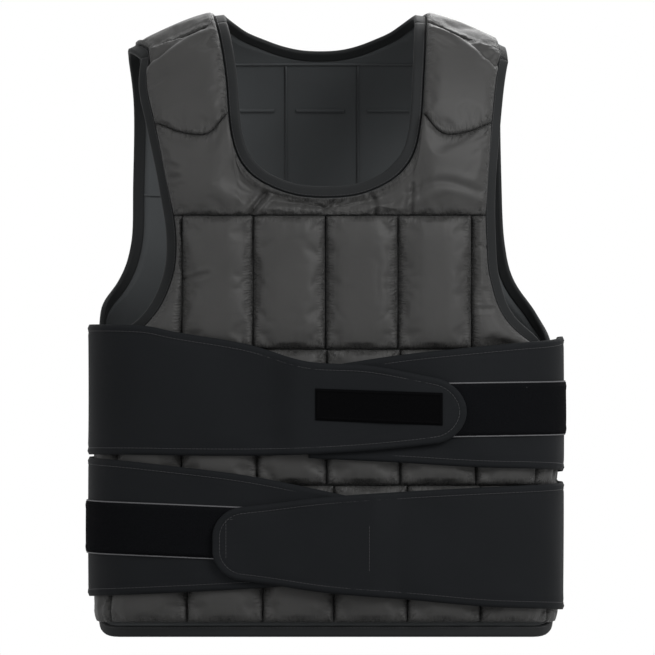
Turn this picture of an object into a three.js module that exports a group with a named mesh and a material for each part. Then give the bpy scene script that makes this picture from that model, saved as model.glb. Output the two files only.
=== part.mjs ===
// A pull-over weighted training vest, standing in the form it has when it is worn.
// Two cloth panels joined at the shoulders carry quilted pads filled with weights,
// and four broad belts, two from each side of the back, close over the front.
// Millimetres, +Z up, the front faces -Y. The origin lies between the shoulder straps,
// level with the underside of their ridge, where the wearer's shoulders hold the vest up.

import * as THREE from 'three';

// The body that the vest is shaped to
const vestHeight = 604;
const bodyHalfWidth = 216;
const bodyHalfDepth = 112;
const bodySquareness = 3.2;
const shoulderArch = 150;
const shoulderSlope = 0.45;
const neckHalfWidth = 105;
const neckRounding = 24;
const shoulderCentre = -7;
const ridgeToMount = 20;

// Cloth, tape and stuffing
const panelWall = 3;
const tapeWidth = 11;
const tapeWall = 4.6;
const tapeUnder = 0.6;
const seamWidth = 1.2;
const clearance = 0.3;
const tapeClearance = 0.6;
const quiltMargin = 2;
const padClearance = 0.95;
const padSeamDepth = 4.5;
const pocketDepth = 16;
const yokeDepth = 13;
const shoulderPadDepth = 12;
const backShoulderDepth = 6;
const shoulderSeamDepth = 3.4;
const puffPower = 4;
const yokeSwellHeight = 45;

// Pads are full in front and behind, and thin round the sides. Shares of a quarter girth
const fullUpTo = 0.6;
const thinFrom = 0.93;
const sideFullness = 0.15;

// The hem corners
const cornerReach = 62;
const cornerRise = 30;

// Belts, loop bands and the patch
const beltWall = 3.5;
const beltClearance = 1.5;
const beltSideLift = 6.2;
const beltRootLift = 3.8;
const layerGap = 0.6;
const bandWall = 1.6;
const patchWall = 1;
const tipRadius = 26;
const tipShares = [0.06, 0.25, 0.55];
const sideRamp = 0.08;
const rootRampStart = 1.11;
const rootRamp = 0.05;

// How finely the curved cloth is divided
const columnStep = 0.06;
const leastColumn = 0.2;
const strapRows = 8;
const edgeRows = 14;
const cornerRows = 4;
const neckColumns = 10;
const strapColumns = 3;
const yokeRows = 6;
const padRows = 4;
const edgePadRows = 7;
const shoulderPadRows = 8;
const backShoulderRows = 11;
const backYokeColumns = 12;
const padColumns = 4;

// Panel edges, from the shoulder seam down to where the hem corner starts.
// up is a share of vestHeight along the cloth; left and right are shares of a quarter
// of the girth, from the middle of the panel. The row marked split starts the straps.
const frontEdge = [
  { up: 0.948, left: -0.64, right: 0.63 },
  { up: 0.875, left: -0.648, right: 0.613 },
  { up: 0.8, left: -0.614, right: 0.598, split: true },
  { up: 0.72, left: -0.573, right: 0.583 },
  { up: 0.64, left: -0.547, right: 0.584 },
  { up: 0.575, left: -0.563, right: 0.598 },
  { up: 0.515, left: -0.64, right: 0.654 },
  { up: 0.455, left: -0.83, right: 0.82 },
  { up: 0.36, left: -0.945, right: 0.945 },
  { up: 0.2, left: -0.95, right: 0.95 },
];
const backEdge = [
  { up: 1.05, left: -0.69, right: 0.622 },
  { up: 0.96, left: -0.692, right: 0.61, split: true },
  { up: 0.84, left: -0.668, right: 0.6 },
  { up: 0.72, left: -0.671, right: 0.605 },
  { up: 0.63, left: -0.68, right: 0.617 },
  { up: 0.57, left: -0.74, right: 0.655 },
  { up: 0.515, left: -0.89, right: 0.76 },
  { up: 0.43, left: -0.95, right: 0.93 },
  { up: 0.25, left: -0.95, right: 0.95 },
];

// Neck edges, each from its strap down to the lowest point
const frontNeck = [
  { up: 1.0226, left: -0.338, right: 0.303 },
  { up: 0.9, left: -0.306, right: 0.297 },
  { up: 0.8, left: -0.285, right: 0.28, split: true },
  { up: 0.757, left: -0.232, right: 0.226 },
  { up: 0.73, left: -0.12, right: 0.12 },
];
const frontNeckLow = 0.7235;
const backNeck = [
  { up: 1.06, left: -0.34, right: 0.293 },
  { up: 0.995, left: -0.285, right: 0.235, split: true },
  { up: 0.962, left: -0.2, right: 0.155 },
  { up: 0.943, left: -0.11, right: 0.07 },
];
const backNeckLow = 0.938;

// The quilted rows. Seams between pockets are shares of a quarter of the girth
const pocketRows = [
  { name: 'hem', low: 0.0232, high: 0.2434 },
  { name: 'belly', low: 0.2434, high: 0.462 },
  { name: 'chest', low: 0.462, high: 0.677 },
];
const frontSeams = {
  hem: [-0.745, -0.47, -0.215, 0.027, 0.277, 0.522, 0.775],
  belly: [-0.72, -0.489, -0.235, 0.002, 0.252, 0.507, 0.72],
  chest: [-0.488, -0.248, -0.001, 0.245, 0.493],
};
const backSeams = [-0.56, -0.295, -0.03, 0.235, 0.5];
const backQuiltEdge = 0.8;
const shoulderSeam = { outer: 0.948, inner: 1.0226, outerRound: 0.63, innerRound: 0.32 };
const padSeam = [
  { across: 0, up: 0.812 },
  { across: 0.35, up: 0.799 },
  { across: 0.7, up: 0.799 },
  { across: 1, up: 0.828 },
];
const backPadSeam = 0.9;
const seamPasses = 8;

// Belt outlines. round is a share of a quarter of the girth, low and high are shares
// of vestHeight. Each starts at its root behind the vest's side and ends at its tip.
const beltRoot = 1.19;
const upperFlapRows = [
  { round: -beltRoot, low: 0.293, high: 0.499 },
  { round: -0.82, low: 0.293, high: 0.502 },
  { round: -0.6, low: 0.2925, high: 0.5 },
  { round: -0.5, low: 0.2915, high: 0.49 },
  { round: -0.26, low: 0.291, high: 0.4695 },
  { round: -0.07, low: 0.293, high: 0.443 },
  { round: 0.145, low: 0.299, high: 0.436 },
  { round: 0.33, low: 0.308, high: 0.4195 },
  { round: 0.463, low: 0.318, high: 0.405 },
];
const upperUnderRows = [
  { round: beltRoot, low: 0.262, high: 0.45 },
  { round: 1, low: 0.265, high: 0.481 },
  { round: 0.7, low: 0.27, high: 0.475 },
  { round: 0.5, low: 0.2725, high: 0.466 },
  { round: 0.245, low: 0.28, high: 0.4525 },
  { round: -0.06, low: 0.287, high: 0.43 },
];
const lowerFlapRows = [
  { round: beltRoot, low: 0.0435, high: 0.2555 },
  { round: 0.59, low: 0.047, high: 0.242 },
  { round: 0.27, low: 0.06, high: 0.2335 },
  { round: 0, low: 0.0705, high: 0.2245 },
  { round: -0.22, low: 0.086, high: 0.212 },
  { round: -0.377, low: 0.095, high: 0.204 },
];
const lowerUnderRows = [
  { round: -beltRoot, low: 0.0655, high: 0.293 },
  { round: -0.74, low: 0.0665, high: 0.286 },
  { round: -0.5, low: 0.071, high: 0.274 },
  { round: -0.24, low: 0.078, high: 0.257 },
  { round: 0.12, low: 0.09, high: 0.222 },
];
const upperBandRows = [
  { round: 1.02, low: 0.328, high: 0.4105 },
  { round: 0.447, low: 0.323, high: 0.4065 },
  { round: 0.12, low: 0.32, high: 0.403 },
];
const lowerBandRows = [
  { round: -1.02, low: 0.139, high: 0.22 },
  { round: -0.8, low: 0.136, high: 0.2175 },
  { round: -0.34, low: 0.126, high: 0.208 },
  { round: 0, low: 0.119, high: 0.201 },
];
const patchRows = [
  { round: -0.036, low: 0.348, high: 0.399 },
  { round: 0.386, low: 0.3395, high: 0.392 },
];

// Where each over-flap climbs from the quilting onto the belt below it
const upperFlapClimb = { start: -0.2, end: -0.09 };
const lowerFlapClimb = { start: 0.26, end: 0.15 };

const quarterTurn = Math.PI / 2;
const ridgeCover = panelWall + padClearance + shoulderSeamDepth;
const shoulderTop = vestHeight - ridgeCover + (shoulderSlope * neckRounding) / 2;
const mountHeight = shoulderTop - ridgeToMount;
const archLength = quarterTurn * Math.sqrt((shoulderArch ** 2 + bodyHalfDepth ** 2) / 2);

const finishes = {
  quilt: new THREE.MeshStandardMaterial({ color: 0x3e3f42, roughness: 0.55, metalness: 0 }),
  lining: new THREE.MeshStandardMaterial({ color: 0x2b2c2e, roughness: 0.85, metalness: 0 }),
  tape: new THREE.MeshStandardMaterial({ color: 0x232426, roughness: 0.8, metalness: 0 }),
  belt: new THREE.MeshStandardMaterial({ color: 0x18191c, roughness: 0.75, metalness: 0 }),
  loop: new THREE.MeshStandardMaterial({ color: 0x101113, roughness: 0.95, metalness: 0 }),
  patch: new THREE.MeshStandardMaterial({ color: 0x050506, roughness: 0.45, metalness: 0 }),
};

const vest = new THREE.Group();

// The body's section

function ovalPoint(angle) {
  const power = 2 / bodySquareness;
  const across = Math.sin(angle);
  const ahead = Math.cos(angle);
  return new THREE.Vector2(
    bodyHalfWidth * Math.sign(across) * Math.abs(across) ** power,
    -bodyHalfDepth * Math.sign(ahead) * Math.abs(ahead) ** power,
  );
}

const ovalSteps = 240;
const ovalLengths = [0];
for (let i = 1; i <= ovalSteps; i += 1) {
  const here = ovalPoint((i / ovalSteps) * quarterTurn);
  const before = ovalPoint(((i - 1) / ovalSteps) * quarterTurn);
  ovalLengths.push(ovalLengths[i - 1] + here.distanceTo(before));
}
const quarterGirth = ovalLengths[ovalSteps];

// round is 0 at the front, 1 at the side on +X and 2 at the back
function angleAt(round) {
  if (round < 0) return -angleAt(-round);
  if (round > 1) return Math.PI - angleAt(2 - round);
  const wanted = round * quarterGirth;
  let i = 1;
  while (i < ovalSteps && ovalLengths[i] < wanted) i += 1;
  const step = (wanted - ovalLengths[i - 1]) / (ovalLengths[i] - ovalLengths[i - 1]);
  return ((i - 1 + step) / ovalSteps) * quarterTurn;
}

// The shoulders

function ridgeHeight(x) {
  const beyondNeck = Math.abs(x - shoulderCentre) - neckHalfWidth;
  const rounded = (beyondNeck + Math.hypot(beyondNeck, neckRounding)) / 2;
  return shoulderTop - shoulderSlope * rounded;
}

function bodyPoint(round, up) {
  const flat = ovalPoint(angleAt(round));
  const climb = up * vestHeight;
  const spring = ridgeHeight(flat.x) - shoulderArch;
  const turn = (Math.max(0, climb - spring) / archLength) * quarterTurn;
  const height = Math.min(climb, spring) + shoulderArch * Math.sin(turn);
  return new THREE.Vector3(flat.x, flat.y * Math.cos(turn), height - mountHeight);
}

function outwardAt(round, up) {
  const step = 0.002;
  const along = bodyPoint(round + step, up).sub(bodyPoint(round - step, up));
  const rise = bodyPoint(round, up + step).sub(bodyPoint(round, up - step));
  return along.cross(rise).normalize();
}

// Cloth as a closed wall. A place has round and up, and inner and outer, which are
// its wall's two distances out from the body. Rows run up, columns run round.

function wall(name, grids, finish) {
  const numbers = new Map();
  const inner = [];
  const outer = [];
  const numberOf = (place) => {
    const base = bodyPoint(place.round, place.up);
    const key = base.toArray().map((value) => value.toFixed(2)).join(' ');
    if (!numbers.has(key)) {
      const out = outwardAt(place.round, place.up);
      numbers.set(key, outer.length);
      inner.push(base.clone().addScaledVector(out, place.inner));
      outer.push(base.clone().addScaledVector(out, place.outer));
    }
    return numbers.get(key);
  };

  const faces = [];
  for (const grid of grids) {
    for (let r = 1; r < grid.length; r += 1) {
      for (let c = 1; c < grid[r].length; c += 1) {
        const corners = [grid[r - 1][c - 1], grid[r - 1][c], grid[r][c], grid[r][c - 1]];
        const [a, b, d, e] = corners.map(numberOf);
        faces.push([a, b, d], [a, d, e]);
      }
    }
  }
  const sound = faces.filter(([a, b, c]) => a !== b && b !== c && c !== a);

  const edges = new Set();
  for (const [a, b, c] of sound) {
    edges.add(`${a} ${b}`).add(`${b} ${c}`).add(`${c} ${a}`);
  }
  const count = outer.length;
  const indices = [];
  for (const [a, b, c] of sound) {
    indices.push(a, b, c, a + count, c + count, b + count);
  }
  for (const edge of edges) {
    const [a, b] = edge.split(' ').map(Number);
    if (!edges.has(`${b} ${a}`)) {
      indices.push(b, a, a + count, b, a + count, b + count);
    }
  }
  const geometry = new THREE.BufferGeometry().setFromPoints([...outer, ...inner]);
  geometry.setIndex(indices);
  geometry.computeVertexNormals();
  const mesh = new THREE.Mesh(geometry, finish.clone());
  mesh.name = name;
  vest.add(mesh);
}

function shares(count) {
  return Array.from({ length: count + 1 }, (_, i) => i / count);
}

function mix(from, to, share) {
  return from + (to - from) * share;
}

function ease(share) {
  const held = Math.min(1, Math.max(0, share));
  return held * held * (3 - 2 * held);
}

// A value from a table, along a smooth curve through its rows
function smoothAt(rows, key, at, column) {
  const sign = rows[rows.length - 1][key] > rows[0][key] ? 1 : -1;
  let i = 1;
  while (i < rows.length - 1 && sign * rows[i][key] < sign * at) i += 1;
  const slope = (k) => {
    const low = rows[Math.max(0, k - 1)];
    const high = rows[Math.min(rows.length - 1, k + 1)];
    return (high[column] - low[column]) / (high[key] - low[key]);
  };
  const [a, b] = [rows[i - 1], rows[i]];
  const span = b[key] - a[key];
  const t = Math.min(1, Math.max(0, (at - a[key]) / span));
  const start = (1 + 2 * t) * (1 - t) ** 2 * a[column] + t * (1 - t) ** 2 * span * slope(i - 1);
  const end = t * t * (3 - 2 * t) * b[column] - t * t * (1 - t) * span * slope(i);
  return start + end;
}

// Flat outlines, in millimetres round the girth and up the cloth

function flatPoint(round, up) {
  return new THREE.Vector2(round * quarterGirth, up * vestHeight);
}

function placed(point, inner, outer) {
  return { round: point.x / quarterGirth, up: point.y / vestHeight, inner, outer };
}

// The part of a smooth curve between two of its rows
function stretch(points, fromRow, toRow, steps) {
  const curve = new THREE.SplineCurve(points);
  const last = points.length - 1;
  return shares(steps).map((share) => curve.getPoint(mix(fromRow, toRow, share) / last));
}

// Each point of a line, moved to the left of the way that the line runs
function moved(line, distance) {
  return line.map((point, i) => {
    const before = line[Math.max(0, i - 1)];
    const after = line[Math.min(line.length - 1, i + 1)];
    const way = after.clone().sub(before).normalize();
    return new THREE.Vector2(point.x - way.y * distance, point.y + way.x * distance);
  });
}

// The same spot on the shoulder, reached from the back over the ridge
function overRidge(point) {
  const round = point.x / quarterGirth;
  const ridge = ridgeHeight(ovalPoint(angleAt(round)).x) - shoulderArch + archLength;
  const back = new THREE.Vector2((2 - round) * quarterGirth, 2 * ridge - point.y);
  return back;
}

function rowPoints(rows, middle, side, seam) {
  const facing = middle === 0 ? 1 : -1;
  const points = rows.map((row) => flatPoint(middle + facing * row[side], row.up));
  return seam ? [seam, ...points] : points;
}

// A panel's side, from the shoulder seam down round the hem corner
function sideLine(rows, middle, side, seam) {
  const points = rowPoints(rows, middle, side, seam);
  const split = rows.findIndex((row) => row.split) + (seam ? 1 : 0);
  const inwards = Math.sign(middle * quarterGirth - points[0].x);
  const foot = points[points.length - 1].clone().setY(cornerRise);
  points.push(foot);
  const line = [
    ...stretch(points, 0, split, strapRows),
    ...stretch(points, split, points.length - 1, edgeRows).slice(1),
  ];
  for (let i = 1; i <= cornerRows; i += 1) {
    const turn = (i / cornerRows) * quarterTurn;
    line.push(new THREE.Vector2(
      foot.x + inwards * cornerReach * (1 - Math.cos(turn)),
      cornerRise * (1 - Math.sin(turn)),
    ));
  }
  return line;
}

// A panel's neck edge, from the strap on the side where its girth starts to the other
function neckLine(rows, lowest, middle, seams = []) {
  const sides = middle === 0 ? ['left', 'right'] : ['right', 'left'];
  const first = rowPoints(rows, middle, sides[0], seams[0]);
  const second = rowPoints(rows, middle, sides[1], seams[1]);
  const across = (first[first.length - 1].x + second[second.length - 1].x) / 2;
  const bottom = new THREE.Vector2(across, lowest * vestHeight);
  const points = [...first, bottom, ...second.reverse()];
  const split = rows.findIndex((row) => row.split) + seams.length / 2;
  const end = points.length - 1;
  return [
    ...stretch(points, 0, split, strapRows),
    ...stretch(points, split, end - split, neckColumns).slice(1),
    ...stretch(points, end - split, end, strapRows).slice(1),
  ];
}

const front = {
  start: sideLine(frontEdge, 0, 'left'),
  end: sideLine(frontEdge, 0, 'right'),
  neck: neckLine(frontNeck, frontNeckLow, 0),
};
const back = {
  start: sideLine(backEdge, 2, 'right', overRidge(front.end[0])),
  end: sideLine(backEdge, 2, 'left', overRidge(front.start[0])),
  neck: neckLine(backNeck, backNeckLow, 2, [
    overRidge(front.neck[front.neck.length - 1]),
    overRidge(front.neck[0]),
  ]),
};

// A side's outlines, all drawn in by the same distance. The back's ends lie on the
// front's, so that the two meet along the shoulder seams
function inset(side, distance) {
  const lines = {
    start: moved(side.start, distance),
    end: moved(side.end, -distance),
    neck: moved(side.neck, -distance),
  };
  if (side === back) {
    const seam = inset(front, distance);
    lines.start[0] = overRidge(seam.end[0]);
    lines.end[0] = overRidge(seam.start[0]);
    lines.neck[0] = overRidge(seam.neck[seam.neck.length - 1]);
    lines.neck[lines.neck.length - 1] = overRidge(seam.neck[0]);
  }
  return lines;
}

function shortened(point) {
  return new THREE.Vector2(point.x, point.y - clearance);
}

function across(from, to, share) {
  return from.clone().lerp(to, share);
}

// The line on which a panel's straps start, with the neck's curve between them
function topLine({ start, end, neck }) {
  const columns = shares(strapColumns);
  const startNeck = neck[strapRows];
  const endNeck = neck[neck.length - 1 - strapRows];
  return [
    ...columns.map((share) => across(start[strapRows], startNeck, share)),
    ...neck.slice(strapRows + 1, -strapRows - 1),
    ...columns.map((share) => across(endNeck, end[strapRows], share)),
  ];
}

// Where a panel's columns stand, as shares of its width
function columnShares(side) {
  const top = topLine(inset(side, tapeWidth + tapeClearance));
  const from = top[0].x;
  const width = top[top.length - 1].x - from;
  return top.map((point) => (point.x - from) / width);
}

// Panels of cloth, cut back by the tape that binds their edges

function makePanel(name, side) {
  const cut = inset(side, tapeWidth + tapeClearance);
  const { start, end, neck } = cut;
  const columns = shares(strapColumns);
  const startNeck = neck.slice(0, strapRows + 1);
  const endNeck = neck.slice(-strapRows - 1).reverse();
  const seam = (from, to, share) => shortened(
    side === front ? across(from, to, share)
      : overRidge(across(overRidge(from), overRidge(to), share)),
  );
  const cloth = (point) => placed(point, 0, panelWall);
  const strap = (from, to) => shares(strapRows).map((_, i) => columns.map((share) => cloth(
    i === 0 ? seam(from[0], to[0], share) : across(from[i], to[i], share),
  ))).reverse();

  const top = topLine(cut);
  const topShares = columnShares(side);
  const neckFoot = Math.min(...top.map((point) => point.y));
  const firstFull = start.findIndex((point, i) => Math.max(point.y, end[i].y) < neckFoot);
  const full = [];
  for (let i = start.length - 1; i >= firstFull; i -= 1) {
    full.push(topShares.map((share) => cloth(across(start[i], end[i], share))));
  }
  const lowest = topShares.map((share) => across(start[firstFull], end[firstFull], share));
  const steps = firstFull - strapRows;
  const upper = shares(steps).map((share, step) => top.map((point, c) => {
    if (c === 0) return cloth(start[firstFull - step]);
    if (c === top.length - 1) return cloth(end[firstFull - step]);
    return cloth(across(lowest[c], point, share));
  }));
  wall(name, [strap(start, startNeck), strap(endNeck, end), full, upper], finishes.lining);
}

// Tape round the neck and down both edges of each panel. Rows run along the tape

function tapeGrid(edge, inner) {
  const tape = (point) => placed(point, -tapeUnder, tapeWall);
  return edge.map((point, i) => [tape(point), tape(inner[i])]).reverse();
}

function makeEdgeTape(name, side) {
  const outline = inset(side, 0);
  const drawn = inset(side, tapeWidth);
  const columns = columnShares(side).slice(1, -1);
  const around = ({ start, end }) => {
    const [from, to] = [start[start.length - 1], end[end.length - 1]];
    const hem = columns.map((share) => across(from, to, share));
    const line = [...start, ...hem, ...end.slice().reverse()];
    return line.map((point, i) => (i % (line.length - 1) === 0 ? shortened(point) : point));
  };
  wall(name, [tapeGrid(around(outline), around(drawn))], finishes.tape);
}

function makeNeckTape() {
  const grids = [front, back].map((side) => tapeGrid(
    inset(side, tapeWidth).neck,
    inset(side, 0).neck,
  ));
  wall('neck_binding', grids, finishes.tape);
}

// Quilted pads. A pad lies between two lines up the cloth and two across it, and is
// thickest in the middle

function puff(share) {
  return 1 - Math.abs(2 * share - 1) ** puffPower;
}

function fullnessAt(round) {
  const fromMiddle = Math.min(Math.abs(round), Math.abs(2 - round));
  return mix(sideFullness, 1, ease((thinFrom - fromMiddle) / (thinFrom - fullUpTo)));
}

function lineAt(line, height) {
  let i = 1;
  while (i < line.length - 1 && line[i].y > height) i += 1;
  const [a, b] = [line[i - 1], line[i]];
  return mix(a.x, b.x, (height - a.y) / (b.y - a.y)) / quarterGirth;
}

function makePad(name, sides, depth, rows, columns, edgeDepth = padSeamDepth) {
  const grid = shares(rows).map((t) => shares(columns).map((k) => {
    const low = sides.low(k);
    const high = sides.high(k);
    const up = mix(low, high, t);
    const round = mix(sides.start(up), sides.end(up), k);
    const thickness = mix(edgeDepth, depth, puff(t) * puff(k) * fullnessAt(round));
    const inner = panelWall + padClearance;
    return { round, up, inner, outer: inner + thickness };
  }));
  wall(name, [grid], finishes.quilt);
}

function makeRow(prefix, rowEdges, seams, quilt, middle) {
  const halfSeam = seamWidth / 2 / quarterGirth;
  const halfRow = seamWidth / 2 / vestHeight;
  const low = rowEdges.low + halfRow;
  const high = rowEdges.high - halfRow;
  const lines = seams.map((seam) => middle + seam).sort((a, b) => a - b);
  for (let i = 0; i <= lines.length; i += 1) {
    const start = i === 0 ? quilt.start : () => lines[i - 1] + halfSeam;
    const end = i === lines.length ? quilt.end : () => lines[i] - halfSeam;
    const sides = { start, end, low: () => low, high: () => high };
    const atEdge = i === 0 || i === lines.length;
    const name = `${prefix}_${rowEdges.name}_pocket_${i + 1}`;
    makePad(name, sides, pocketDepth, atEdge ? edgePadRows : padRows, padColumns);
  }
}

// How far the quilting reaches on a panel, just inside its tape
function quiltEdges(side, limit) {
  const { start, end, neck } = inset(side, tapeWidth + quiltMargin);
  return {
    start: (up) => Math.max(lineAt(start, up * vestHeight), limit ? limit.start : -Infinity),
    end: (up) => Math.min(lineAt(end, up * vestHeight), limit ? limit.end : Infinity),
    neck,
    startNeck: (up) => lineAt(neck.slice(0, strapRows + 2), up * vestHeight),
    endNeck: (up) => lineAt(neck.slice(-strapRows - 2).reverse(), up * vestHeight),
  };
}

function shoulderSeamAt(round) {
  const share = (Math.abs(round) - shoulderSeam.innerRound)
    / (shoulderSeam.outerRound - shoulderSeam.innerRound);
  return mix(shoulderSeam.inner, shoulderSeam.outer, share);
}

// The same seam, reached from the back over the ridge
function backSeamAt(round) {
  const x = ovalPoint(angleAt(round)).x;
  const ridge = ridgeHeight(x) - shoulderArch + archLength;
  return (2 * ridge) / vestHeight - shoulderSeamAt(2 - round);
}

function makeShoulderPad(name, quilt, onStart, isFront) {
  const start = onStart ? quilt.start : quilt.endNeck;
  const end = onStart ? quilt.startNeck : quilt.end;
  const gap = seamWidth / 2 / vestHeight;
  const seamUp = isFront ? shoulderSeamAt : backSeamAt;
  const lowAt = (k) => {
    const across = onStart ? k : 1 - k;
    return isFront ? smoothAt(padSeam, 'across', across, 'up') : backPadSeam;
  };
  const highAt = (k) => {
    let up = isFront ? shoulderSeam.outer : 2 - shoulderSeam.outer;
    for (let pass = 0; pass < seamPasses; pass += 1) up = seamUp(mix(start(up), end(up), k));
    return up;
  };
  const sides = { start, end, low: (k) => lowAt(k) + gap, high: (k) => highAt(k) - gap };
  const depth = isFront ? shoulderPadDepth : backShoulderDepth;
  makePad(
    name, sides, depth, isFront ? shoulderPadRows : backShoulderRows, strapColumns,
    shoulderSeamDepth,
  );
}

// The yoke runs under the neck from one strap to the other
function makeFrontYoke(quilt) {
  const low = pocketRows[2].high + seamWidth / 2 / vestHeight;
  const gap = seamWidth / 2 / vestHeight;
  const topOf = (onStart) => shares(strapColumns).map((share) => {
    const across = onStart ? share : 1 - share;
    const up = smoothAt(padSeam, 'across', across, 'up') - gap;
    const [from, to] = onStart
      ? [quilt.start(up), quilt.startNeck(up)]
      : [quilt.endNeck(up), quilt.end(up)];
    return flatPoint(mix(from, to, share), up);
  });
  const neck = quilt.neck.slice(strapRows, -strapRows);
  const top = [...topOf(true), ...neck, ...topOf(false)];
  const from = quilt.start(low) * quarterGirth;
  const to = quilt.end(low) * quarterGirth;
  const width = top[top.length - 1].x - top[0].x;
  const inner = panelWall + padClearance;
  const grid = shares(yokeRows).map((t) => top.map((point) => {
    const share = (point.x - top[0].x) / width;
    const foot = new THREE.Vector2(mix(from, to, share), low * vestHeight);
    const height = point.y - foot.y;
    const swell = Math.min(1, height / yokeSwellHeight) * puff(t) * puff(share);
    return placed(foot.lerp(point, t), inner, inner + mix(padSeamDepth, yokeDepth, swell));
  }));
  wall('yoke', [grid], finishes.quilt);
}

function makeBackYoke(quilt) {
  const gap = seamWidth / 2 / vestHeight;
  const low = pocketRows[2].high + gap;
  const sides = {
    start: quilt.start,
    end: quilt.end,
    low: () => low,
    high: () => backPadSeam - gap,
  };
  makePad('back_yoke', sides, yokeDepth, shoulderPadRows, backYokeColumns);
}

// Belts and what is sewn to them. They lie over the pads in front, close to the body at
// the sides, and on the bare margin of the back panel at their roots

function beltColumns(from, to) {
  const low = Math.min(from, to);
  const high = Math.max(from, to);
  const columns = [low];
  const first = Math.ceil(low / columnStep + leastColumn);
  for (let k = first; k < high / columnStep - leastColumn; k += 1) {
    columns.push(k * columnStep);
  }
  columns.push(high);
  return columns;
}

function liftAt(round) {
  const reach = Math.abs(round);
  const padTop = panelWall + padClearance + mix(padSeamDepth, pocketDepth, fullnessAt(reach));
  const side = mix(beltSideLift, padTop + beltClearance, ease((1 - reach) / sideRamp));
  return mix(side, beltRootLift, ease((reach - rootRampStart) / rootRamp));
}

function makeBand(name, rows, finish, liftOf, thickness, tip = 0, across = 2) {
  const first = rows[0].round;
  const last = rows[rows.length - 1].round;
  const columns = beltColumns(first, last);
  if (tip > 0) {
    const way = Math.sign(last - first);
    const tipShare = tip / quarterGirth;
    for (const share of tipShares) {
      columns.push(last - way * tipShare * share);
    }
    columns.sort((a, b) => a - b);
  }
  const edges = columns.map((round) => {
    const fromTip = Math.min(tip, Math.abs(last - round) * quarterGirth);
    const inset = tip - Math.sqrt(tip ** 2 - (tip - fromTip) ** 2);
    const low = smoothAt(rows, 'round', round, 'low') + inset / vestHeight;
    const high = smoothAt(rows, 'round', round, 'high') - inset / vestHeight;
    return { round, low, high, lift: liftOf(round) };
  });
  const grid = shares(across).map((t) => edges.map(({ round, low, high, lift }) => ({
    round,
    up: mix(low, high, t),
    inner: lift,
    outer: lift + thickness,
  })));
  wall(name, [grid], finish);
}

const bandLift = beltWall + layerGap;
const flapLift = bandLift + bandWall + layerGap;
const patchLift = flapLift + beltWall + layerGap;

function overFlapLift(climb) {
  return (round) => {
    const share = (round - climb.start) / (climb.end - climb.start);
    return liftAt(round) + flapLift * ease(share);
  };
}

makePanel('front_panel', front);
makePanel('back_panel', back);
makeEdgeTape('front_edge_binding', front);
makeEdgeTape('back_edge_binding', back);
makeNeckTape();

const frontQuilt = quiltEdges(front);
const backQuilt = quiltEdges(back, { start: 2 - backQuiltEdge, end: 2 + backQuiltEdge });
for (const rowEdges of pocketRows) {
  makeRow('front', rowEdges, frontSeams[rowEdges.name], frontQuilt, 0);
  makeRow('back', rowEdges, backSeams.map((seam) => -seam), backQuilt, 2);
}
makeFrontYoke(frontQuilt);
makeBackYoke(backQuilt);
makeShoulderPad('front_shoulder_pad_left', frontQuilt, true, true);
makeShoulderPad('front_shoulder_pad_right', frontQuilt, false, true);
makeShoulderPad('back_shoulder_pad_right', backQuilt, true, false);
makeShoulderPad('back_shoulder_pad_left', backQuilt, false, false);

makeBand('upper_under_belt', upperUnderRows, finishes.belt, liftAt, beltWall);
makeBand('lower_under_belt', lowerUnderRows, finishes.belt, liftAt, beltWall);
const onUnderBelt = (round) => liftAt(round) + bandLift;
makeBand('upper_loop_band', upperBandRows, finishes.loop, onUnderBelt, bandWall, 0, 1);
makeBand('lower_loop_band', lowerBandRows, finishes.loop, onUnderBelt, bandWall, 0, 1);
makeBand(
  'upper_flap', upperFlapRows, finishes.belt, overFlapLift(upperFlapClimb), beltWall, tipRadius,
);
makeBand(
  'lower_flap', lowerFlapRows, finishes.belt, overFlapLift(lowerFlapClimb), beltWall, tipRadius,
);
makeBand('patch', patchRows, finishes.patch, (round) => liftAt(round) + patchLift, patchWall, 0, 1);

export default vest;
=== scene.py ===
# A pull-over weighted training vest in charcoal nylon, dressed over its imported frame.
# Metres. It has the form that it is worn in, and its front faces -Y.

import math

import bmesh
import bpy
import numpy as np
from mathutils import Matrix, Vector


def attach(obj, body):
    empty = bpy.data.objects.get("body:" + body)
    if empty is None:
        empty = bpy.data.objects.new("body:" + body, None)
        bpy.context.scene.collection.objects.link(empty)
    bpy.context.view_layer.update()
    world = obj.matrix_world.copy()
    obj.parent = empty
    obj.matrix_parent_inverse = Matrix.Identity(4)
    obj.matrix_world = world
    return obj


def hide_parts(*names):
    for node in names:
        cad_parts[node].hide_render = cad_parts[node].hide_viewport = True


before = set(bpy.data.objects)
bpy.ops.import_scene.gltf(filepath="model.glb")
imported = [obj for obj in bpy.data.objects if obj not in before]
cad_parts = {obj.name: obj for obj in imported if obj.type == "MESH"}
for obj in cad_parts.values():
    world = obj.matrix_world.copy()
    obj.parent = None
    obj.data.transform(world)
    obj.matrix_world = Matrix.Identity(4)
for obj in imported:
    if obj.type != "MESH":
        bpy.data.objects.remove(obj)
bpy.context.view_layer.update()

# The studio. A straight view of the front without perspective, as in a catalogue, with
# a large soft light high on the viewer's right, a weaker one on the left, pale
# surroundings, and a pale floor just under the hem.
view_width = 0.63535
view_centre = Vector((0.0015, 0.0, -0.2819))
floor_height = -0.6

camera = bpy.data.cameras.new("view")
camera.type = "ORTHO"
camera.ortho_scale = view_width
viewer = bpy.data.objects.new("view", camera)
viewer.location = view_centre - Vector((0, 3, 0))
viewer.rotation_euler = (math.pi / 2, 0, 0)
bpy.context.scene.collection.objects.link(viewer)
bpy.context.scene.camera = viewer
bpy.context.scene.view_settings.view_transform = "Standard"


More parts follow.
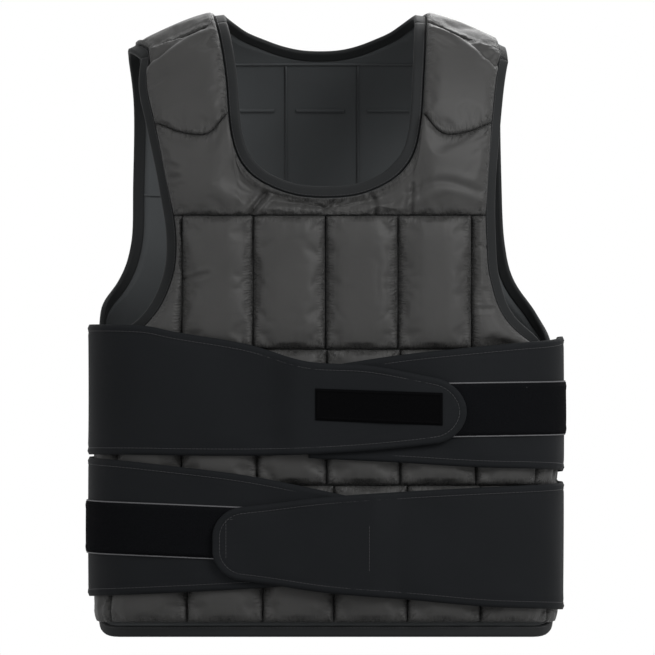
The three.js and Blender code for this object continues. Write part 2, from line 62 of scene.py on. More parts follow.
def soft_light(name, place, size, power):
    lamp = bpy.data.lights.new(name, "AREA")
    lamp.size = size
    lamp.energy = power
    holder = bpy.data.objects.new(name, lamp)
    holder.location = place
    holder.rotation_euler = (view_centre - Vector(place)).to_track_quat("-Z", "Y").to_euler()
    bpy.context.scene.collection.objects.link(holder)


soft_light("key_light", (1.5, -1.7, 0.9), 1.1, 66)
soft_light("fill_light", (-1.6, -1.5, 0.3), 1.3, 14)
soft_light("back_light", (0.4, 1.9, 1.2), 1.2, 40)

surroundings = bpy.data.worlds.new("studio")
surroundings.use_nodes = True
surroundings.node_tree.nodes["Background"].inputs["Color"].default_value = (1, 1, 1, 1)
surroundings.node_tree.nodes["Background"].inputs["Strength"].default_value = 1.0
bpy.context.scene.world = surroundings


class Wire:
    """One output of a material's nodes. Sums and products of wires add Math nodes."""

    def __init__(self, tree, socket=None):
        self.tree = tree
        self.socket = socket

    def node(self, kind, settings=None, sockets=None, output=0):
        made = self.tree.nodes.new("ShaderNode" + kind)
        for name, value in (settings or {}).items():
            if name == "stops":
                ramp = made.color_ramp.elements
                for stop, (place, shade) in zip((ramp[0], ramp[1]), value):
                    stop.position = place
                    stop.color = (shade, shade, shade, 1)
            else:
                setattr(made, name, value)
        for name, value in (sockets or {}).items():
            if isinstance(value, Wire):
                self.tree.links.new(value.socket, made.inputs[name])
            else:
                made.inputs[name].default_value = value
        return Wire(self.tree, made.outputs[output])

    def math(self, operation, first, second):
        return self.node("Math", {"operation": operation}, {0: first, 1: second})

    def __add__(self, other):
        return self.math("ADD", self, other)

    def __sub__(self, other):
        return self.math("SUBTRACT", self, other)

    def __rsub__(self, other):
        return self.math("SUBTRACT", other, self)

    def __mul__(self, other):
        return self.math("MULTIPLY", self, other)

    __radd__ = __add__
    __rmul__ = __mul__


def new_finish(name, roughness, specular, sheen=0.0, sheen_roughness=0.5):
    """A material, its start wire, and its shader with the values that don't vary."""
    finish = bpy.data.materials.new(name)
    finish.use_nodes = True
    shader = finish.node_tree.nodes["Principled BSDF"]
    shader.inputs["Roughness"].default_value = roughness
    shader.inputs["Specular IOR Level"].default_value = specular
    shader.inputs["Sheen Weight"].default_value = sheen
    shader.inputs["Sheen Roughness"].default_value = sheen_roughness
    return finish, Wire(finish.node_tree), shader


def plug(shader, name, wire):
    wire.tree.links.new(wire.socket, shader.inputs[name])


def two_tone(start, share, dark, light):
    """A colour between two, by a share from 0 to 1."""
    mixer = {"data_type": "RGBA"}
    ends = {0: share, 6: (*dark, 1), 7: (*light, 1)}
    return start.node("Mix", mixer, ends, 2)


floor_paint, start, shader = new_finish("floor_paint", 0.9, 0.2)
spread = start.node("TexCoord", {}, {}, 3)
mottle = start.node("TexNoise", {}, {"Vector": spread, "Scale": 1.5, "Detail": 3.0})
plug(shader, "Base Color", two_tone(start, mottle, (0.5, 0.5, 0.5), (0.54, 0.54, 0.54)))
sweep = bmesh.new()
bmesh.ops.create_grid(sweep, x_segments=8, y_segments=8, size=4)
bmesh.ops.translate(sweep, vec=(0, 0, floor_height), verts=sweep.verts)
floor_mesh = bpy.data.meshes.new("floor")
sweep.to_mesh(floor_mesh)
floor_mesh.materials.append(floor_paint)
floor = bpy.data.objects.new("floor", floor_mesh)
bpy.context.scene.collection.objects.link(floor)

# The front and back panels are the ground that everything is sewn to: a smooth dark
# lining cloth on a firm backing. They are cut flat, joined at the shoulders and worn
# round the chest. Flat cloth is measured in metres round the body and up from the hem.
vest_height = 0.604
half_width = 0.216
half_depth = 0.112
squareness = 3.2
shoulder_arch = 0.15
shoulder_slope = 0.45
shoulder_centre = -0.007
neck_half_width = 0.105
neck_rounding = 0.024
ridge_cover = 0.00735
shoulder_top = vest_height - ridge_cover + shoulder_slope * neck_rounding / 2
mount_height = shoulder_top - 0.02
arch_length = math.pi / 2 * math.sqrt((shoulder_arch ** 2 + half_depth ** 2) / 2)
panel_wall = 0.003

# Panel edges, from the shoulder down to where the hem corner starts: the share of the
# height, then the left and right edges as shares of a quarter girth from the middle.
front_edge = [
    (0.948, -0.64, 0.63), (0.875, -0.648, 0.613), (0.8, -0.614, 0.598),
    (0.72, -0.573, 0.583), (0.64, -0.547, 0.584), (0.575, -0.563, 0.598),
    (0.515, -0.64, 0.654), (0.455, -0.83, 0.82), (0.36, -0.945, 0.945),
    (0.2, -0.95, 0.95),
]
back_edge = [
    (1.05, -0.69, 0.622), (0.96, -0.692, 0.61), (0.84, -0.668, 0.6),
    (0.72, -0.671, 0.605), (0.63, -0.68, 0.617), (0.57, -0.74, 0.655),
    (0.515, -0.89, 0.76), (0.43, -0.95, 0.93), (0.25, -0.95, 0.95),
]
front_neck = [
    (1.0226, -0.338, 0.303), (0.9, -0.306, 0.297), (0.8, -0.285, 0.28),
    (0.757, -0.232, 0.226), (0.73, -0.12, 0.12),
]
back_neck = [
    (1.06, -0.34, 0.293), (0.995, -0.285, 0.235), (0.962, -0.2, 0.155),
    (0.943, -0.11, 0.07),
]
front_neck_low = 0.7235
back_neck_low = 0.938
strap_foot = 2
corner_reach = 0.062
corner_rise = 0.03
tape_width = 0.011

strap_rows = 24
edge_rows = 64
corner_rows = 12
neck_columns = 60
strap_columns = 12

quarter = np.linspace(0, math.pi / 2, 2400)
quarter_x = half_width * np.sin(quarter) ** (2 / squareness)
quarter_y = half_depth * np.cos(quarter) ** (2 / squareness)
quarter_run = np.concatenate([[0], np.cumsum(np.hypot(np.diff(quarter_x), np.diff(quarter_y)))])
quarter_girth = quarter_run[-1]


def section(reach):
    """A place on the body's oval section, round it from the middle of the front."""
    folded = (reach / quarter_girth + 2) % 4 - 2
    share = np.abs(folded)
    behind = share > 1
    angle = np.interp(np.where(behind, 2 - share, share) * quarter_girth, quarter_run, quarter)
    x = np.sign(folded) * half_width * np.sin(angle) ** (2 / squareness)
    depth = half_depth * np.abs(np.cos(angle)) ** (2 / squareness)
    return x, np.where(behind, depth, -depth)


def ridge(x):
    beyond = np.abs(x - shoulder_centre) - neck_half_width
    return shoulder_top - shoulder_slope * (beyond + np.hypot(beyond, neck_rounding)) / 2


def on_body(reach, climb):
    x, y = section(reach)
    spring = ridge(x) - shoulder_arch
    turn = np.maximum(0, climb - spring) / arch_length * math.pi / 2
    height = np.minimum(climb, spring) + shoulder_arch * np.sin(turn) - mount_height
    return np.stack([x, y * np.cos(turn), height], axis=-1)


def laid(reach, climb, out):
    """Flat places laid on the body, out from it by the given distances."""
    step = 0.0006
    along = on_body(reach + step, climb) - on_body(reach - step, climb)
    rise = on_body(reach, climb + step) - on_body(reach, climb - step)
    away = np.cross(along, rise)
    away /= np.linalg.norm(away, axis=-1, keepdims=True)
    return on_body(reach, climb) + away * np.asarray(out)[..., None]


def over_ridge(points):
    """The same spots on the shoulder, reached from the back over the ridge."""
    crest = ridge(section(points[..., 0])[0]) - shoulder_arch + arch_length
    across = 2 * quarter_girth - points[..., 0]
    return np.stack([across, 2 * crest - points[..., 1]], axis=-1)


def smooth_line(points, places):
    """Points on a smooth curve through the given ones. A place is a row, whole or not."""
    i = np.clip(places.astype(int), 0, len(points) - 2)
    t = (places - i)[:, None]
    a, b, c, d = (points[np.clip(i + k, 0, len(points) - 1)] for k in (-1, 0, 1, 2))
    bend = 2 * a - 5 * b + 4 * c - d
    return b + ((c - a) * t + bend * t ** 2 + (3 * b - a - 3 * c + d) * t ** 3) / 2


def row_points(rows, middle, side, seam):
    facing = 1 if middle == 0 else -1
    points = [((middle + facing * row[side]) * quarter_girth, row[0] * vest_height) for row in rows]
    return np.array([seam, *points] if seam is not None else points)


def side_line(rows, middle, side, seam=None):
    points = row_points(rows, middle, side, seam)
    split = strap_foot
    points = np.vstack([points, (points[-1][0], corner_rise)])
    inwards = np.sign(middle * quarter_girth - points[0][0])
    strap = smooth_line(points, np.linspace(0, split, strap_rows + 1))
    edge = smooth_line(points, np.linspace(split, len(points) - 1, edge_rows + 1))[1:]
    turn = np.linspace(0, math.pi / 2, corner_rows + 1)[1:]
    corner_x = points[-1][0] + inwards * corner_reach * (1 - np.cos(turn))
    corner = np.stack([corner_x, corner_rise * (1 - np.sin(turn))], axis=-1)
    return np.vstack([strap, edge, corner])


def neck_line(rows, lowest, middle, seams=(None, None)):
    first, second = (1, 2) if middle == 0 else (2, 1)
    start = row_points(rows, middle, first, seams[0])
    end = row_points(rows, middle, second, seams[1])
    bottom = ((start[-1][0] + end[-1][0]) / 2, lowest * vest_height)
    points = np.vstack([start, bottom, end[::-1]])
    split = strap_foot
    last = len(points) - 1
    return np.vstack([
        smooth_line(points, np.linspace(0, split, strap_rows + 1)),
        smooth_line(points, np.linspace(split, last - split, neck_columns + 1))[1:],
        smooth_line(points, np.linspace(last - split, last, strap_rows + 1))[1:],
    ])


front = {
    "start": side_line(front_edge, 0, 1),
    "end": side_line(front_edge, 0, 2),
    "neck": neck_line(front_neck, front_neck_low, 0),
}
back = {
    "start": side_line(back_edge, 2, 2, over_ridge(front["end"][0])),
    "end": side_line(back_edge, 2, 1, over_ridge(front["start"][0])),
    "neck": neck_line(back_neck, back_neck_low, 2, [
        over_ridge(front["neck"][-1]), over_ridge(front["neck"][0]),
    ]),
}


def moved(line, distance):
    """A line moved to the left of the way that it runs."""
    way = np.gradient(line, axis=0)
    way /= np.linalg.norm(way, axis=1, keepdims=True)
    return line + np.stack([-way[:, 1], way[:, 0]], axis=-1) * distance


def inset(side, distance):
    """A panel's outlines drawn in, with the back's ends on the front's."""
    start, end, neck = (
        moved(side[name], turn * distance)
        for name, turn in (("start", 1), ("end", -1), ("neck", -1))
    )
    if side is back:
        seam = inset(front, distance)
        start[0] = over_ridge(seam["end"][0])
        end[0] = over_ridge(seam["start"][0])
        neck[0] = over_ridge(seam["neck"][-1])
        neck[-1] = over_ridge(seam["neck"][0])
    return {"start": start, "end": end, "neck": neck}


def between(start, end, count):
    """Rows of points from one line across to the other."""
    share = np.linspace(0, 1, count + 1)[None, :, None]
    return start[:, None] + (end - start)[:, None] * share


def flat_grid(cloth, places):
    """Adds a patch of cloth whose rows of flat places are given, from the hem up."""
    spot = cloth.verts.layers.int.get("spot") or cloth.verts.layers.int.new("spot")
    rows, columns = places.shape[:2]
    made = bmesh.ops.create_grid(cloth, x_segments=columns - 1, y_segments=rows - 1, size=1)
    for vert in made["verts"]:
        column = round((vert.co.x + 1) / 2 * (columns - 1))
        row = round((vert.co.y + 1) / 2 * (rows - 1))
        vert.co = (*places[row, column], 0)
        vert[spot] = row * columns + column


same_place = 0.00002


def close_wall(cloth):
    """Joins a flat cloth's patches and gives it a second face, one unit above."""
    bmesh.ops.remove_doubles(cloth, verts=cloth.verts, dist=same_place)
    made = bmesh.ops.extrude_face_region(cloth, geom=cloth.faces[:], use_keep_orig=True)
    for item in made["geom"]:
        if isinstance(item, bmesh.types.BMVert):
            item.co.z = 1
    bmesh.ops.recalc_face_normals(cloth, faces=cloth.faces)


def flat_cut(cloth):
    """A flat cloth's width and length, and its area, before it is laid on the body."""
    places = np.array([vert.co.xy for vert in cloth.verts])
    one_face = [face for face in cloth.faces if max(vert.co.z for vert in face.verts) < 0.5]
    return np.ptp(places, axis=0), sum(face.calc_area() for face in one_face)


def sewn(name, cloth, out_at, finish, tops=None, seam_map=None):
    """Lays a flat cloth wall on the body as a finished piece. Its UVs are its flat size.
    tops and seam_map, where given, are the places of its outer face and how far off and
    how far along the nearest seam each lies, in the order of the cloth's rows."""
    flat_map = cloth.loops.layers.uv.new("cloth")
    for face in cloth.faces:
        face.smooth = True
        for loop in face.loops:
            loop[flat_map].uv = loop.vert.co.xy
    mesh = bpy.data.meshes.new(name)
    cloth.to_mesh(mesh)
    cloth.free()
    places = np.empty(len(mesh.vertices) * 3, np.float32)
    mesh.vertices.foreach_get("co", places)
    reach, climb, level = places.reshape(-1, 3).astype(float).T
    places = laid(reach, climb, out_at(reach, climb, level))
    if tops is not None:
        spots = np.empty(len(mesh.vertices), np.int32)
        mesh.attributes["spot"].data.foreach_get("value", spots)
        outer = level > 0.5
        places[outer] = tops[spots[outer]]
        corners = np.empty(len(mesh.loops), np.int32)
        mesh.loops.foreach_get("vertex_index", corners)
        seam_uv = mesh.uv_layers.new(name="seam")
        seam_uv.data.foreach_set("uv", seam_map[spots[corners]].astype(np.float32).ravel())
    mesh.vertices.foreach_set("co", places.astype(np.float32).ravel())
    mesh.update()
    mesh.materials.append(finish)
    piece = bpy.data.objects.new(name, mesh)
    bpy.context.scene.collection.objects.link(piece)
    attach(piece, "root")
    return piece


def weave(start, pitch, wander=0.0):
    """The over and under of plain cloth, in the cloth's own flat measure."""
    cloth = start.node("UVMap", {"uv_map": "cloth"})
    count = 2 * math.pi / pitch
    along = start.node("SeparateXYZ", {}, {0: cloth}, 0)
    up = start.node("SeparateXYZ", {}, {0: cloth}, 1)
    warp = start.node("Math", {"operation": "SINE"}, {0: along * count})
    weft = start.node("Math", {"operation": "SINE"}, {0: up * count})
    return cloth, warp * weft


lining_cloth, start, shader = new_finish("lining_cloth", 0.8, 0.15, 0.05, 0.4)
cloth, threads = weave(start, 0.0011)
fuzz = start.node("TexNoise", {}, {"Vector": cloth, "Scale": 900.0, "Detail": 4.0})
drift = start.node("TexNoise", {}, {"Vector": cloth, "Scale": 14.0, "Detail": 3.0})
shade = drift * 0.6 + fuzz * 0.4
plug(shader, "Base Color", two_tone(start, shade, (0.024, 0.026, 0.027), (0.042, 0.045, 0.047)))
relief = start.node("Bump", {}, {"Strength": 0.35, "Distance": 0.0003, "Height": threads * 0.5 + fuzz})
plug(shader, "Normal", relief)


def panel_cloth(side):
    cut = inset(side, tape_width)
    start, end, neck = cut["start"], cut["end"], cut["neck"]
    start_neck = neck[:strap_rows + 1]
    end_neck = neck[::-1][:strap_rows + 1]
    foot = slice(strap_rows, strap_rows + 1)
    top = np.vstack([
        between(start[foot], start_neck[foot], strap_columns)[0],
        neck[strap_rows + 1:-strap_rows - 1],
        between(end_neck[foot], end[foot], strap_columns)[0],
    ])
    width_share = ((top[:, 0] - top[0, 0]) / (top[-1, 0] - top[0, 0]))[:, None]
    below_neck = np.maximum(start[:, 1], end[:, 1]) < top[:, 1].min()
    full = int(np.argmax(below_neck))
    rows = [start[i] + (end[i] - start[i]) * width_share for i in range(len(start) - 1, full - 1, -1)]
    lowest = rows[-1]
    for i in range(full - 1, strap_rows - 1, -1):
        row = lowest + (top - lowest) * (full - i) / (full - strap_rows)
        row[0], row[-1] = start[i], end[i]
        rows.append(row)
    cloth = bmesh.new()
    flat_grid(cloth, between(start[:strap_rows + 1], start_neck, strap_columns)[::-1])
    flat_grid(cloth, between(end_neck, end[:strap_rows + 1], strap_columns)[::-1])
    flat_grid(cloth, np.array(rows))
    close_wall(cloth)
    return cloth


def panel_out(reach, climb, level):
    return level * panel_wall


front_flat, back_flat = panel_cloth(front), panel_cloth(back)
front_cut, back_cut = flat_cut(front_flat), flat_cut(back_flat)
front_panel = sewn("front_cloth", front_flat, panel_out, lining_cloth)
back_panel = sewn("back_cloth", back_flat, panel_out, lining_cloth)
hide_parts("front_panel")
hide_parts("back_panel")

# Sewing thread. Every row of it is many short stitches, each a little bar of dark
# polyester lying along its seam.
stitch_pitch = 0.0034
stitch_length = 0.0024
thread_radius = 0.00028

sewing_thread, start, shader = new_finish("sewing_thread", 0.6, 0.25)
spread = start.node("TexCoord", {}, {}, 3)
twist = start.node("TexNoise", {}, {"Vector": spread, "Scale": 2500.0, "Detail": 2.0})
plug(shader, "Base Color", two_tone(start, twist, (0.012, 0.012, 0.013), (0.035, 0.035, 0.037)))


def stitches(name, rows):
    """Rows of stitches. Each row is a flat line and the function of its distance out."""
    thread = bmesh.new()
    for line, out_of in rows:
        run = np.concatenate([[0], np.cumsum(np.linalg.norm(np.diff(line, axis=0), axis=1))])
        middles = np.arange(stitch_pitch / 2, run[-1], stitch_pitch)
        ends = []
        for shift in (-stitch_length / 2, stitch_length / 2):
            reach = np.interp(middles + shift, run, line[:, 0])
            climb = np.interp(middles + shift, run, line[:, 1])
            ends.append(laid(reach, climb, out_of(reach) + 0 * reach))
        for start, end in zip(*ends):
            way = Vector(end - start)
            turned = way.to_track_quat("Z", "Y").to_matrix().to_4x4()
            place = Matrix.Translation(Vector((start + end) / 2)) @ turned
            bmesh.ops.create_cone(
                thread, cap_ends=True, segments=5, radius1=thread_radius,
                radius2=thread_radius, depth=way.length, matrix=place,
            )
    mesh = bpy.data.meshes.new(name)
    thread.to_mesh(mesh)
    thread.free()
    mesh.materials.append(sewing_thread)
    piece = bpy.data.objects.new(name, mesh)
    bpy.context.scene.collection.objects.link(piece)
    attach(piece, "root")
    return piece


# Inside, the back's lining is seamed: a facing under the neck, two long seams down the
# back, one across it, and the lips of three slots that the weights go in by.
lip_wall = 0.0011
lip_tuck = 0.0002
back_middle = 2 * quarter_girth
lining_seams = [
    ((0.092, 0.553), (-0.084, 0.553), 0.0022),
    ((0.0388, 0.551), (0.0388, 0.03), 0.0014),
    ((-0.031, 0.551), (-0.031, 0.03), 0.0014),
    ((0.18, 0.428), (-0.161, 0.428), 0.0016),
    ((0.085, 0.505), (0.05, 0.505), 0.003),
    ((0.029, 0.505), (-0.018, 0.505), 0.003),
    ((-0.04, 0.505), (-0.081, 0.505), 0.003),
]


def lip_out(reach, climb, level):
    return np.where(level > 0.5, lip_tuck, -lip_wall)


seams = bmesh.new()
seam_stitches = []
for from_place, to_place, wide in lining_seams:
    ends = np.array([from_place, to_place]) + (back_middle, 0)
    line = ends[0] + (ends[1] - ends[0]) * np.linspace(0, 1, 60)[:, None]
    flat_grid(seams, between(moved(line, wide / 2), moved(line, -wide / 2), 2))
    seam_stitches.append((moved(line, wide), lambda reach: -lip_tuck))
close_wall(seams)
seam_lips = sewn("lining_seams", seams, lip_out, lining_cloth)
lining_thread = stitches("lining_thread", seam_stitches)

# Tape binds the raw edges of both panels and runs in one round the neck. It is ribbed,
# folded over the edge and held by a row of stitches along its inner side.
tape_wall = 0.0046
tape_under = 0.0006
tape_columns = 8
tape_round = 0.0014
tape_pucker = 0.00025
tape_pucker_pitch = 0.009

ribbed_tape, start, shader = new_finish("ribbed_tape", 0.7, 0.1, 0.03, 0.35)
cloth = start.node("UVMap", {"uv_map": "cloth"})
fuzz = start.node("TexNoise", {}, {"Vector": cloth, "Scale": 1200.0, "Detail": 3.0})
drift = start.node("TexNoise", {}, {"Vector": cloth, "Scale": 30.0, "Detail": 3.0})
shade = drift * 0.5 + fuzz * 0.5
plug(shader, "Base Color", two_tone(start, shade, (0.0055, 0.006, 0.0062), (0.0105, 0.0112, 0.0118)))
ribs = start.node("TexWave", {"wave_type": "BANDS", "bands_direction": "DIAGONAL"},
                  {"Vector": cloth, "Scale": 260.0, "Distortion": 0.4})
relief = start.node("Bump", {}, {"Strength": 0.4, "Distance": 0.0003, "Height": ribs * 0.6 + fuzz * 0.4})
plug(shader, "Normal", relief)


def tape_strip(cloth, edge, inner):
    """Tape between a cloth's edge and a line drawn in from it. It lies in the edge's order."""
    flat_grid(cloth, between(edge, inner, tape_columns))


def around(lines, hem_steps=80):
    """A panel's whole edge but the neck: down one side, along the hem and up the other."""
    start, end = lines["start"], lines["end"]
    share = np.linspace(0, 1, hem_steps + 1)[1:-1, None]
    return np.vstack([start, start[-1] + (end[-1] - start[-1]) * share, end[::-1]])


def nearest(points, lines):
    """How far each flat place lies from a line, and how far along the line that is."""
    best = np.full(len(points), 9.0)
    where = np.zeros(len(points))
    gone = 0.0
    for a, b in zip(lines[:-1], lines[1:]):
        way = b - a
        length = np.hypot(*way)
        if length < 1e-7:
            continue
        share = np.clip(((points - a) @ way) / length ** 2, 0, 1)
        away = np.hypot(*(points - a - share[:, None] * way).T)
        nearer = away < best
        best = np.where(nearer, away, best)
        where = np.where(nearer, gone + share * length, where)
        gone += length
    return best, where


def ripple(along, pitch, seed):
    """Uneven waves about a pitch apart, from -1 to 1, the same for the same seed."""
    rng = np.random.default_rng(seed)
    total = np.zeros_like(along)
    for octave in (0.6, 0.85, 1.0, 1.3, 1.9):
        total += np.sin(2 * math.pi * (along / (pitch * octave) + rng.random())) * rng.uniform(0.5, 1)
    return total / 2.2


def tape_out(edge, inner, seed):
    """A tape's wall: rounded at both sides and slightly puckered by its stitches."""
    def out_at(reach, climb, level):
        points = np.stack([reach, climb], axis=-1)
        from_edge, along = nearest(points, edge)
        from_inner, _ = nearest(points, inner)
        rim = np.minimum(from_edge, from_inner)
        rounding = tape_round * (1 - np.sqrt(1 - (1 - np.clip(rim / tape_round, 0, 1)) ** 2))
        pucker = tape_pucker * ripple(along, tape_pucker_pitch, seed)
        pucker *= np.clip(from_edge / tape_width, 0, 1)
        return np.where(level > 0.5, tape_wall - rounding + pucker, -tape_under + rounding * 0.5)
    return out_at


for name, side, seed in (("front", front, 3), ("back", back, 5)):
    edge = around(inset(side, 0))
    inner = around(inset(side, tape_width))
    cloth = bmesh.new()
    tape_strip(cloth, edge, inner)
    close_wall(cloth)
    binding = sewn(name + "_edge_tape", cloth, tape_out(edge, inner, seed), ribbed_tape)
    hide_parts(name + "_edge_binding")

neck_tape = bmesh.new()
for side in (front, back):
    tape_strip(neck_tape, inset(side, tape_width)["neck"], inset(side, 0)["neck"])
close_wall(neck_tape)
neck_lines = [
    np.vstack([inset(side, drawn)["neck"] for side in (front, back)]) for drawn in (0, tape_width)
]
neck_binding = sewn("neck_tape", neck_tape, tape_out(*neck_lines, 7), ribbed_tape)
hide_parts("neck_binding")

# The bindings are held by one row of stitches, just inside their inner edge.
tape_seam = 0.0088
thread_seat = 0.0001


def on_tape(reach):
    return tape_wall + thread_seat


tape_rows = [(around(inset(side, tape_seam)), on_tape) for side in (front, back)]
tape_rows += [(inset(side, tape_seam)["neck"], on_tape) for side in (front, back)]
tape_thread = stitches("tape_thread", tape_rows)

# The quilting. Charcoal nylon is sewn down over soft pockets of weights: three rows of
# pockets on each panel, a yoke above them and a pad on each shoulder. The pockets are
# stuffed, and the slack in their cloth gathers along the seams.
pad_clearance = 0.00095
pad_seam_depth = 0.0045
pocket_depth = 0.016
yoke_depth = 0.013
shoulder_pad_depth = 0.012
back_shoulder_depth = 0.006
full_up_to = 0.6
thin_from = 0.93
side_fullness = 0.15
belt_clearance = 0.0015
belt_side_lift = 0.0062
belt_root_lift = 0.0038
side_ramp = 0.08
root_ramp_start = 1.11
root_ramp = 0.05
seam_width = 0.0006
quilt_margin = 0.0004
back_quilt_edge = 0.8
back_pad_seam = 0.9
front_cloth_step = 0.0023
yoke_cloth_step = 0.0017
back_cloth_step = 0.003
yoke_height = 0.075
front_seam_start = 0.98
back_seam_start = 1.13
seam_depth_share = 0.6
stuffing_edge = 0.014
stuffing_room = 0.003
under_belt = 0.0006
soft_room = 0.0025
cloth_quality = 5
cloth_mass = 0.3
cloth_stretch = 15
cloth_shear = 5
cloth_bend = 0.4
cloth_slack = 0.018
cloth_pressure = 2.5
cloth_frames = 20
cloth_cap = 0.008
pocket_rows = [("hem", 0.0232, 0.2434), ("belly", 0.2434, 0.462), ("chest", 0.462, 0.677)]
front_seams = {
    "hem": [-0.745, -0.47, -0.215, 0.027, 0.277, 0.522, 0.775],
    "belly": [-0.72, -0.489, -0.235, 0.002, 0.252, 0.507, 0.72],
    "chest": [-0.488, -0.248, -0.001, 0.245, 0.493],
}
back_seams = [-0.5, -0.235, 0.03, 0.295, 0.56]
pad_seam = [(0, 0.812), (0.35, 0.799), (0.7, 0.799), (1, 0.828)]
seam_inner_reach, seam_inner_climb = 0.32 * quarter_girth, 1.0226 * vest_height
seam_outer_reach, seam_outer_climb = 0.63 * quarter_girth, 0.948 * vest_height
quilt_top = pocket_rows[-1][2] * vest_height


def eased(share):
    held = np.clip(share, 0, 1)
    return held * held * (3 - 2 * held)


def through_rows(rows, at, column):
    """A value from a table, along a smooth curve through its rows."""
    rows = np.array(sorted(rows), float)
    keys, values = rows[:, 0], rows[:, column]
    slopes = np.empty(len(keys))
    slopes[1:-1] = (values[2:] - values[:-2]) / (keys[2:] - keys[:-2])
    slopes[0] = (values[1] - values[0]) / (keys[1] - keys[0])
    slopes[-1] = (values[-1] - values[-2]) / (keys[-1] - keys[-2])
    i = np.clip(np.searchsorted(keys, at) - 1, 0, len(keys) - 2)
    span = keys[i + 1] - keys[i]
    t = np.clip((at - keys[i]) / span, 0, 1)
    start = (1 + 2 * t) * (1 - t) ** 2 * values[i] + t * (1 - t) ** 2 * span * slopes[i]
    end = t * t * (3 - 2 * t) * values[i + 1] - t * t * (1 - t) * span * slopes[i + 1]
    return start + end


def fullness(reach):
    """How full the pads are: full in front and behind, thin round the sides."""
    share = np.abs(reach) / quarter_girth
    from_middle = np.minimum(share, np.abs(2 - share))
    return side_fullness + (1 - side_fullness) * eased((thin_from - from_middle) / (thin_from - full_up_to))


def pad_room(reach):
    """How far out a full pad may reach, with its clearance."""
    pad_depth = pad_seam_depth + (pocket_depth - pad_seam_depth) * fullness(reach)
    return panel_wall + pad_clearance + pad_depth + belt_clearance


def belt_lift(reach):
    """How far out a belt's underside lies, over the pads or close to the body."""
    share = np.abs(reach) / quarter_girth
    side = belt_side_lift + (pad_room(reach) - belt_side_lift) * eased((1 - share) / side_ramp)
    return side + (belt_root_lift - side) * eased((share - root_ramp_start) / root_ramp)


def pad_places(start, end, low, high, step):
    """A pad's flat places between two lines up the cloth and two across it."""
    tall = high(0.5) - low(0.5)
    wide = abs(end(low(0.5) + tall / 2) - start(low(0.5) + tall / 2))
    rows, columns = max(6, round(tall / step)), max(6, round(wide / step))
    across = np.linspace(0, 1, columns + 1)
    lows = np.array([low(k) for k in across])
    highs = np.array([high(k) for k in across])
    climb = lows + (highs - lows) * np.linspace(0, 1, rows + 1)[:, None]
    reach = start(climb) + (end(climb) - start(climb)) * across
    return np.stack([reach, climb], axis=-1)


def line_at(line):
    """Where a line that runs down a cloth stands at a height."""
    return lambda climb: np.interp(climb, line[::-1, 1], line[::-1, 0])


def held(value):
    return lambda at: value + 0 * at


def quilt_edges(side, limits=(-9.0, 9.0)):
    """How far the quilting reaches on a panel, just inside its tape."""
    drawn = inset(side, tape_width + quilt_margin)
    start, end = line_at(drawn["start"]), line_at(drawn["end"])
    return {
        "start": lambda climb: np.maximum(start(climb), limits[0]),
        "end": lambda climb: np.minimum(end(climb), limits[1]),
        "neck": drawn["neck"],
        "start_neck": line_at(drawn["neck"][:strap_rows + 2]),
        "end_neck": line_at(drawn["neck"][::-1][:strap_rows + 2]),
    }


def shoulder_seam(reach):
    share = (np.abs(reach) - seam_inner_reach) / (seam_outer_reach - seam_inner_reach)
    return seam_inner_climb + (seam_outer_climb - seam_inner_climb) * share


def back_shoulder_seam(reach):
    crest = ridge(section(reach)[0]) - shoulder_arch + arch_length
    return 2 * crest - shoulder_seam(2 * quarter_girth - reach)


def shoulder_places(quilt, on_start, in_front, step):
    start, end = (quilt["start"], quilt["start_neck"]) if on_start else (quilt["end_neck"], quilt["end"])
    seam = shoulder_seam if in_front else back_shoulder_seam

    def low(k):
        if not in_front:
            return back_pad_seam * vest_height + seam_width / 2
        return through_rows(pad_seam, k if on_start else 1 - k, 1) * vest_height + seam_width / 2

    def high(k):
        climb = (front_seam_start if in_front else back_seam_start) * vest_height
        for _ in range(6):
            climb = seam(start(climb) + (end(climb) - start(climb)) * k)
        return climb - seam_width / 2
    return pad_places(start, end, low, high, step)


def yoke_places(quilt, step):
    low = quilt_top + seam_width / 2
    across = np.linspace(0, 1, 25)
    ends = []
    for on_start in (True, False):
        climb = through_rows(pad_seam, across if on_start else 1 - across, 1) * vest_height - seam_width / 2
        sides = ("start", "start_neck") if on_start else ("end_neck", "end")
        outer, inner = (quilt[side](climb) for side in sides)
        ends.append(np.stack([outer + (inner - outer) * across, climb], axis=-1))
    neck = quilt["neck"][strap_rows:-strap_rows]
    neck = neck[(neck[:, 0] > ends[0][-1, 0]) & (neck[:, 0] < ends[1][0, 0])]
    top = np.vstack([ends[0], smooth_line(neck, np.linspace(0, len(neck) - 1, 2 * len(neck))), ends[1]])
    share = (top[:, 0] - top[0, 0]) / (top[-1, 0] - top[0, 0])
    from_x, to_x = quilt["start"](low), quilt["end"](low)
    foot = np.stack([from_x + (to_x - from_x) * share, np.full(len(top), low)], axis=-1)
    rows = round(yoke_height / step)
    return foot + (top - foot) * np.linspace(0, 1, rows + 1)[:, None, None]


def from_border(places):
    """How far each place lies from the nearest side of its pad."""
    across = np.linalg.norm(np.diff(places, axis=1), axis=2)
    up = np.linalg.norm(np.diff(places, axis=0), axis=2)
    left = np.pad(np.cumsum(across, axis=1), ((0, 0), (1, 0)))
    low = np.pad(np.cumsum(up, axis=0), ((1, 0), (0, 0)))
    return left, left[:, -1:] - left, low, low[-1:] - low


